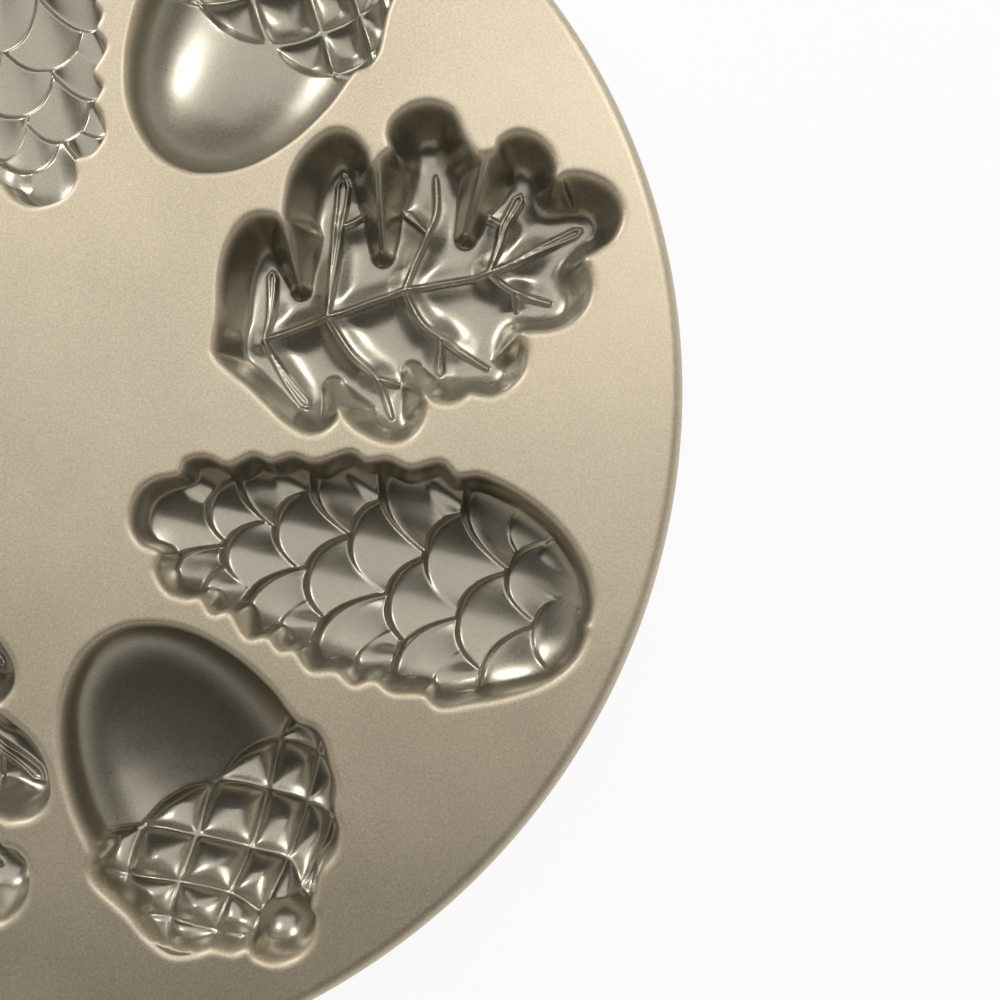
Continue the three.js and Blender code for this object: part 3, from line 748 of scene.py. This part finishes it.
def seam_rings(bm, piece):
    """Adds the two rings where a cup meets the plate to the plate's mesh, as bare edges."""
    cup = bmesh.new()
    cup.from_mesh(piece.data)
    loose = [e for e in cup.edges if not e.seam]
    bmesh.ops.delete(cup, geom=loose, context="EDGES")
    bmesh.ops.delete(cup, geom=cup.faces[:], context="FACES_ONLY")
    alone = [v for v in cup.verts if not v.link_edges]
    bmesh.ops.delete(cup, geom=alone, context="VERTS")
    rings = bpy.data.meshes.new("rings")
    cup.to_mesh(rings)
    cup.free()
    bm.from_mesh(rings)
    bpy.data.meshes.remove(rings)


# Materials


class Wire:
    """A socket whose operators add Math nodes."""

    def __init__(self, tree, socket):
        self.tree = tree
        self.socket = socket

    def maths(self, operation, other):
        node = self.tree.nodes.new("ShaderNodeMath")
        node.operation = operation
        for slot, value in zip(node.inputs, (self, other)):
            plug(self.tree, value, slot)
        return Wire(self.tree, node.outputs[0])

    def __add__(self, other):
        return self.maths("ADD", other)

    def __mul__(self, other):
        return self.maths("MULTIPLY", other)

    def __sub__(self, other):
        return self.maths("SUBTRACT", other)


def plug(tree, value, slot):
    """Links a wire to a node's input, or sets the input to a plain value."""
    if isinstance(value, Wire):
        tree.links.new(value.socket, slot)
    else:
        slot.default_value = value


class Finish:
    """A material's or the world's node tree, and the one way that its nodes are added."""

    def __init__(self, owner):
        if isinstance(owner, str):
            owner = bpy.data.materials.new(owner)
            owner.use_nodes = True
        self.material = owner
        self.tree = owner.node_tree
        self.tree.nodes.clear()

    def add(self, kind, settings=None, output=0, **inputs):
        """Adds a node; an input is named, with _ for a space, or numbered as i0, i1 and so on."""
        node = self.tree.nodes.new(kind)
        for key, value in (settings or {}).items():
            setattr(node, key, value)
        for key, value in inputs.items():
            numbered = key[0] == "i" and key[1:].isdigit()
            plug(self.tree, value, node.inputs[int(key[1:]) if numbered else key.replace("_", " ")])
        return Wire(self.tree, node.outputs[output]) if node.outputs else node

    def close(self, shader):
        """Links the finished shader to the material's or the world's output."""
        world = isinstance(self.material, bpy.types.World)
        self.add("ShaderNodeOutputWorld" if world else "ShaderNodeOutputMaterial", Surface=shader)


# The coat's noises: the grain, the flecks in it and the slow mottle
GRAIN = {"Scale": 1900.0, "Detail": 2.0, "Roughness": 0.6}
FLECK = {"Scale": 4200.0, "Detail": 1.0, "Roughness": 0.5}
CLOUD = {"Scale": 38.0, "Detail": 3.0, "Roughness": 0.55}
NOISE_MEAN = 0.5

# What the noises add: grain, fleck and mottle to the tone, grain and mottle to the roughness, grain and
# fleck to the bump's height
TONE = (0.9, 0.7, 0.5)
ROUGH = (0.2, 0.1)
RELIEF = (0.7, 0.3)
BUMP = {"Strength": 0.35, "Distance": 0.00003}

# How far below the plate's top the painted shade, polish and gloss of the cups begin, and where they are full
CUP_SHADE_AND_GLOSS_BEGINS = 0.0002
CUP_SHADE_AND_GLOSS_FULL = 0.004
PLATE_GLOSS = 0.1
CLEAR_GLOSS = {"Coat_Roughness": 0.2, "Coat_IOR": 1.6}


def mix(finish, share, start, end):
    """A colour between two others."""
    return finish.add("ShaderNodeMix", {"data_type": "RGBA"}, output=2, i0=share, i6=start, i7=end)


def cast_coat():
    """The champagne non-stick coat: satin metal flakes, glossier inside the cups and darker there as painted
    shade.
    """
    ready = bpy.data.materials.get("champagne_coat")
    if ready:
        return ready
    colours = bpy.context.scene.cakelet_pan.coat
    finish = Finish("champagne_coat")
    place = finish.add("ShaderNodeTexCoord", output=3)
    grain = finish.add("ShaderNodeTexNoise", Vector=place, **GRAIN)
    fleck = finish.add("ShaderNodeTexNoise", Vector=place, **FLECK)
    cloud = finish.add("ShaderNodeTexNoise", Vector=place, **CLOUD)
    uneven, flecked, mottled = grain - NOISE_MEAN, fleck - NOISE_MEAN, cloud - NOISE_MEAN
    tone = uneven * TONE[0] + flecked * TONE[1] + mottled * TONE[2] + NOISE_MEAN
    height = finish.add("ShaderNodeSeparateXYZ", Vector=place, output=2)
    # Below the plate's top this mask brings in the cups' painted shade, their lower roughness and their gloss
    sunk_shade_and_gloss = finish.add(
        "ShaderNodeMapRange", {"clamp": True, "interpolation_type": "SMOOTHSTEP"},
        i0=height, i1=DECK_TOP - CUP_SHADE_AND_GLOSS_BEGINS, i2=DECK_TOP - CUP_SHADE_AND_GLOSS_FULL, i3=0.0, i4=1.0,
    )
    open_shade = mix(finish, tone, (*colours.dark_grain, 1), (*colours.pale_grain, 1))
    # The cups' colours: the coat darkened as painted shade for the hollows
    cup_painted_shade = mix(finish, tone, (*colours.cup_dark_painted_shade, 1), (*colours.cup_pale_painted_shade, 1))
    shade = mix(finish, sunk_shade_and_gloss, open_shade, cup_painted_shade)
    rough = uneven * ROUGH[0] + mottled * ROUGH[1] + colours.roughness - sunk_shade_and_gloss * colours.cup_polish
    bump = finish.add("ShaderNodeBump", Height=grain * RELIEF[0] + fleck * RELIEF[1], **BUMP)
    surface = finish.add(
        "ShaderNodeBsdfPrincipled", Base_Color=shade, Metallic=colours.metal, Roughness=rough, Normal=bump,
        Coat_Weight=sunk_shade_and_gloss * colours.gloss + PLATE_GLOSS, **CLEAR_GLOSS,
    )
    finish.close(surface)
    return finish.material


# Sizes and colours


def length(name, description, default):
    return FloatProperty(name=name, description=description, default=default, unit="LENGTH")


def share_of_one(name, description, default):
    return FloatProperty(
        name=name, description=description, default=default, min=0, max=1, subtype="FACTOR",
    )


def colour(name, description, default):
    return FloatVectorProperty(
        name=name, description=description, default=default, size=3, min=0, max=1, subtype="COLOR",
    )


class PlateSizes(bpy.types.PropertyGroup):
    """Sizes of the plate and its rolled rim."""

    radius: length("Radius", "Radius of the plate over its rim", (cad_high.x - cad_low.x) / 2)
    rim_round: length("Rim Round", "Radius of the rim's rounded edge", 0.003)
    rim_drop: length("Rim Drop", "How far the rim reaches down", 0.008)
    rim_thickness: length("Rim Thickness", "Thickness of the rolled rim", 0.003)


class CoatColours(bpy.types.PropertyGroup):
    """Colours and gloss of the coat; the cups' colours are darker as painted shade."""

    pale_grain: colour("Pale Grain", "Colour of the coat's bright flakes", (0.88, 0.765, 0.575))
    dark_grain: colour("Dark Grain", "Colour between the flakes", (0.49, 0.41, 0.295))
    # Inside the cups the colours are darkened as painted shade for the hollows
    cup_pale_painted_shade: colour("Cup Pale Grain", "Colour of the flakes inside the cups", (0.475, 0.43, 0.335))
    cup_dark_painted_shade: colour("Cup Dark Grain", "Colour between the flakes inside the cups", (0.29, 0.258, 0.192))
    metal: share_of_one("Metal", "How metallic the coat looks", 0.85)
    roughness: share_of_one("Roughness", "Mean roughness of the metal flakes", 0.54)
    cup_polish: share_of_one("Cup Polish", "How much less rough the coat is inside the cups", 0.22)
    gloss: share_of_one("Gloss", "How much clear gloss lies over the flakes in the cups", 0.7)


class StageSizes(bpy.types.PropertyGroup):
    """The view."""

    camera_place: FloatVectorProperty(
        name="Camera Place", description="Where the camera stands above the plate's top",
        subtype="TRANSLATION", size=3, default=(0.098294, -0.039327, 0.223447),
    )
    lens: FloatProperty(
        name="Lens", description="Focal length on a 36 mm sensor, in millimetres", default=39.6, min=1,
    )


class PanSettings(bpy.types.PropertyGroup):
    """All that a user may change."""

    plate: PointerProperty(type=PlateSizes)
    coat: PointerProperty(type=CoatColours)
    stage: PointerProperty(type=StageSizes)


# Operators


class CupsOperator:
    """What the operators for the three kinds of cup share."""

    def execute(self, context):
        place_cups(self.kind)
        return {"FINISHED"}


class CAKELET_OT_leaf_cups(CupsOperator, bpy.types.Operator):
    """Add the three oak leaf cups"""

    bl_idname = "cakelet.leaf_cups"
    bl_label = "Oak Leaf Cups"
    kind = "leaf"


class CAKELET_OT_cone_cups(CupsOperator, bpy.types.Operator):
    """Add the three pine cone cups"""

    bl_idname = "cakelet.cone_cups"
    bl_label = "Pine Cone Cups"
    kind = "cone"


class CAKELET_OT_acorn_cups(CupsOperator, bpy.types.Operator):
    """Add the three acorn cups"""

    bl_idname = "cakelet.acorn_cups"
    bl_label = "Acorn Cups"
    kind = "acorn"


# Steps round the plate and round each bend of its rim, and the bevel of the rim's lower lip
RING_SEGMENTS = 288
OUTER_BEND_STEPS = 10
INNER_BEND_STEPS = 6
LIP = 0.0006
# Flat strips that lead into the bends, on the plate's top and on its underside
TOP_STRIP = 0.0004
UNDER_STRIP = 0.0006


def rim_profile(sizes):
    """The rim's section as (radius, height), from the plate's top over the rim to its underside."""
    bend = sizes.rim_round
    under = DECK_TOP - PLATE_THICKNESS * MM
    drop = DECK_TOP - sizes.rim_drop
    inner = sizes.radius - sizes.rim_thickness
    profile = [(sizes.radius - bend - TOP_STRIP, DECK_TOP)]
    for step in range(OUTER_BEND_STEPS + 1):
        angle = math.pi / 2 * (1 - step / OUTER_BEND_STEPS)
        out = sizes.radius - bend + bend * math.cos(angle)
        profile.append((out, DECK_TOP - bend + bend * math.sin(angle)))
    profile += [
        (sizes.radius, drop + LIP), (sizes.radius - LIP * 0.3, drop + LIP * 0.3), (sizes.radius - LIP, drop),
        (inner + LIP, drop), (inner + LIP * 0.3, drop + LIP * 0.3), (inner, drop + LIP),
        (inner, under - bend),
    ]
    for step in range(1, INNER_BEND_STEPS + 1):
        angle = math.pi / 2 * step / INNER_BEND_STEPS
        profile.append((inner - bend + bend * math.cos(angle), under - bend + bend * math.sin(angle)))
    profile.append((inner - bend - UNDER_STRIP, under))
    return profile


def extruded_rim(bm, profile):
    """Extrudes a circle ring by ring along the profile, and gives its first ring and its last."""
    radius, height = profile[0]
    circle = bmesh.ops.create_circle(bm, segments=RING_SEGMENTS, radius=radius)
    bmesh.ops.translate(bm, vec=(0, 0, height), verts=circle["verts"])
    first = ring = list(dict.fromkeys(e for v in circle["verts"] for e in v.link_edges))
    for (radius, height), (out, up) in zip(profile, profile[1:]):
        grown_ring = bmesh.ops.extrude_edge_only(bm, edges=ring)["geom"]
        verts = of_kind(grown_ring, bmesh.types.BMVert)
        new = set(verts)
        ring = [e for e in of_kind(grown_ring, bmesh.types.BMEdge) if all(v in new for v in e.verts)]
        bmesh.ops.scale(bm, vec=(out / radius, out / radius, 1), verts=verts)
        bmesh.ops.translate(bm, vec=(0, 0, up - height), verts=verts)
    return first, ring


class CAKELET_OT_plate(bpy.types.Operator):
    """Add the plate with its nine mouths and its rolled rim"""

    bl_idname = "cakelet.plate"
    bl_label = "Plate"

    def execute(self, context):
        cups = [o for o in context.scene.objects if o.name.endswith("_cast")]
        if len(cups) != len(KINDS) * COPIES:
            raise RuntimeError("the cups come before the plate")
        bm = bmesh.new()
        for cup in cups:
            seam_rings(bm, cup)
        middle_height = DECK_TOP - PLATE_THICKNESS * MM / 2
        top_mouths = [e for e in bm.edges if e.verts[0].co.z > middle_height]
        low_mouths = [e for e in bm.edges if e.verts[0].co.z < middle_height]
        top_ring, low_ring = extruded_rim(bm, rim_profile(context.scene.cakelet_pan.plate))
        fill_flat(bm, top_ring + top_mouths)
        fill_flat(bm, low_ring + low_mouths)
        join_rings(bm, top_mouths, low_mouths)
        bmesh.ops.recalc_face_normals(bm, faces=bm.faces)
        for face in bm.faces:
            face.smooth = True
        for e in top_mouths + low_mouths:
            e.smooth = False
        mesh = bpy.data.meshes.new("deck_plate_cast")
        bm.to_mesh(mesh)
        bm.free()
        add_piece(mesh, "deck_plate")
        return {"FINISHED"}


def fill_flat(bm, edges):
    """Fills a flat face with holes, its edges taken from left to right so that every run fills it alike."""
    in_order = sorted(edges, key=lambda e: e.verts[0].co.x + e.verts[1].co.x)
    bmesh.ops.triangle_fill(bm, use_beauty=True, use_dissolve=False, edges=in_order)


def join_rings(bm, top_rings, low_rings):
    """Adds the walls of the nine holes, each bridged from its top ring to the ring below it."""
    for rings in zip(loops_of(top_rings), loops_of(low_rings)):
        bmesh.ops.bridge_loops(bm, edges=rings[0] + rings[1])


def loops_of(edges):
    """Edges sorted into closed loops, in the order of the loops' middles."""
    left = set(edges)
    loops = []
    for start in edges:
        if start not in left:
            continue
        left.discard(start)
        queue = [start]
        loop = []
        while queue:
            e = queue.pop()
            loop.append(e)
            for other in (near for v in e.verts for near in v.link_edges):
                if other in left:
                    left.discard(other)
                    queue.append(other)
        loops.append(loop)

    def middle(loop):
        x = sum(e.verts[0].co.x + e.verts[1].co.x for e in loop) / (2 * len(loop))
        y = sum(e.verts[0].co.y + e.verts[1].co.y for e in loop) / (2 * len(loop))
        return round(x, 3), round(y, 3)

    return sorted(loops, key=middle)


# Half the floor's width, and how far it lies under the pan
FLOOR_REACH = 3
FLOOR_GAP = 0.0002
SENSOR_WIDTH = 36
NEAREST_SEEN = 0.01

# The camera looks nearly straight down. This is the plate's normal, to the camera's right, down and ahead.
PLATE_NORMAL = Vector((-18.093, 73.199, 1100)).normalized()


def view_turn():
    """How the camera is turned: its right lies as near to +X as the plate's normal lets it."""
    across = (Vector((1, 0, 0)) - PLATE_NORMAL * PLATE_NORMAL.x).normalized()
    down = PLATE_NORMAL.cross(across)
    return Matrix((
        (across.x, -across.y, -across.z),
        (-down.x, down.y, down.z),
        (-PLATE_NORMAL.x, PLATE_NORMAL.y, PLATE_NORMAL.z),
    ))


def add_floor():
    grid = bmesh.new()
    bmesh.ops.create_grid(grid, x_segments=1, y_segments=1, size=FLOOR_REACH)
    mesh = bpy.data.meshes.new("floor")
    grid.to_mesh(mesh)
    grid.free()
    mesh.materials.append(floor_white())
    floor = bpy.data.objects.new("floor", mesh)
    floor.location.z = -FLOOR_GAP
    bpy.context.scene.collection.objects.link(floor)


def add_camera(stage):
    data = bpy.data.cameras.new("photo_view")
    data.lens = stage.lens
    data.sensor_width = SENSOR_WIDTH
    data.clip_start = NEAREST_SEEN
    camera = bpy.data.objects.new("photo_view", data)
    place = Vector(stage.camera_place) + Vector((0, 0, DECK_TOP))
    camera.matrix_world = Matrix.Translation(place) @ view_turn().to_4x4()
    bpy.context.scene.collection.objects.link(camera)
    bpy.context.scene.camera = camera


class CAKELET_OT_stage(bpy.types.Operator):
    """Add the floor, the lamps and the camera"""

    bl_idname = "cakelet.stage"
    bl_label = "Stage"

    def execute(self, context):
        add_floor()
        add_lamps()
        light_world()
        add_camera(context.scene.cakelet_pan.stage)
        context.scene.view_settings.view_transform = "Standard"
        return {"FINISHED"}


# How much of the floor's look is plain white; the rest is lit, and takes the pan's shadow
FLOOR_WHITE = 0.93


def floor_white():
    """A floor that the camera and the metal see nearly white, with the pan's shadow on it."""
    finish = Finish("floor_white")
    seen, mirrored = seen_and_mirrored(finish)
    share = seen.maths("MAXIMUM", mirrored) * FLOOR_WHITE
    shade = finish.add("ShaderNodeBsdfDiffuse", Color=(0.95, 0.95, 0.95, 1))
    white = finish.add("ShaderNodeEmission", Color=(1, 1, 1, 1), Strength=1.0)
    finish.close(finish.add("ShaderNodeMixShader", i0=share, i1=shade, i2=white))
    return finish.material


def seen_and_mirrored(finish):
    """Whether the camera looks here, and whether a mirroring surface does."""
    return finish.add("ShaderNodeLightPath", output=0), finish.add("ShaderNodeLightPath", output=3)


PAN_MIDDLE = (0, 0, 0)
LAMPS = [
    # name, place, what it points at, width and length, radiance
    ("ceiling_panel", (0.02, 0.34, 0.62), (0.02, 0.34, 0), (1.05, 0.85), 1.08),
    ("side_window", (-0.6, 0.7, 0.36), PAN_MIDDLE, (0.34, 0.34), 9.0),
    ("ceiling_lamp", (0.34, 0.34, 0.5), PAN_MIDDLE, (0.15, 0.15), 12.5),
]


def add_lamps():
    for name, place, target, (width, length), radiance in LAMPS:
        data = bpy.data.lights.new(name, "AREA")
        data.shape = "RECTANGLE"
        data.size = width
        data.size_y = length
        data.energy = radiance * math.pi * width * length
        lamp = bpy.data.objects.new(name, data)
        look = (Vector(target) - Vector(place)).to_track_quat("-Z", "Y")
        lamp.matrix_world = Matrix.Translation(place) @ look.to_matrix().to_4x4()
        bpy.context.scene.collection.objects.link(lamp)


# The room's light: how high (as the look's z) its pale lower part ends, its strength there and above,
# and how white the metal sees the lower part
LOW_ROOM = (0.1, 0.6)
LOW_STRENGTH = 0.14
ROOM_STRENGTH = 0.03
MIRRORED_WHITE = 0.7


def light_world():
    """A dim room, white behind the pan where the camera or the metal looks at it."""
    world = bpy.data.worlds.new("studio")
    bpy.context.scene.world = world
    world.use_nodes = True
    finish = Finish(world)
    look = finish.add("ShaderNodeTexCoord", output=0)
    height = finish.add("ShaderNodeSeparateXYZ", Vector=look, output=2)
    seen, mirrored = seen_and_mirrored(finish)
    low = finish.add(
        "ShaderNodeMapRange", {"clamp": True, "interpolation_type": "SMOOTHSTEP"},
        i0=height, i1=LOW_ROOM[0], i2=LOW_ROOM[1], i3=1.0, i4=0.0,
    )
    backdrop = seen.maths("MAXIMUM", mirrored * low * MIRRORED_WHITE)
    strength = low * LOW_STRENGTH + ROOM_STRENGTH
    room = finish.add("ShaderNodeBackground", Color=(1, 0.98, 0.95, 1), Strength=strength)
    white = finish.add("ShaderNodeBackground", Color=(1, 1, 1, 1), Strength=1.0)
    finish.close(finish.add("ShaderNodeMixShader", i0=backdrop, i1=room, i2=white))


class CAKELET_PT_parts(bpy.types.Panel):
    """Lists the pan's operators and all that a user may change"""

    bl_idname = "CAKELET_PT_parts"
    bl_label = "Cakelet Pan"
    bl_space_type = "VIEW_3D"
    bl_region_type = "UI"
    bl_category = "Cakelet Pan"

    def draw(self, context):
        column = self.layout.column()
        for operator in ORDER:
            column.operator(operator.bl_idname)
        settings = context.scene.cakelet_pan
        for group in (settings.plate, settings.coat, settings.stage):
            for name in type(group).__annotations__:
                column.prop(group, name)


# In the order in which they are run: the plate takes its mouths from the cups
ORDER = [
    CAKELET_OT_leaf_cups, CAKELET_OT_cone_cups, CAKELET_OT_acorn_cups, CAKELET_OT_plate, CAKELET_OT_stage,
]
CLASSES = [PlateSizes, CoatColours, StageSizes, PanSettings, *ORDER, CAKELET_PT_parts]


def register():
    for one in CLASSES:
        bpy.utils.register_class(one)
    bpy.types.Scene.cakelet_pan = PointerProperty(type=PanSettings)


def unregister():
    del bpy.types.Scene.cakelet_pan
    for one in reversed(CLASSES):
        bpy.utils.unregister_class(one)


def main():
    register()
    bpy.ops.cakelet.leaf_cups()
    bpy.ops.cakelet.cone_cups()
    bpy.ops.cakelet.acorn_cups()
    bpy.ops.cakelet.plate()
    bpy.ops.cakelet.stage()


if __name__ == "__main__":
    main()
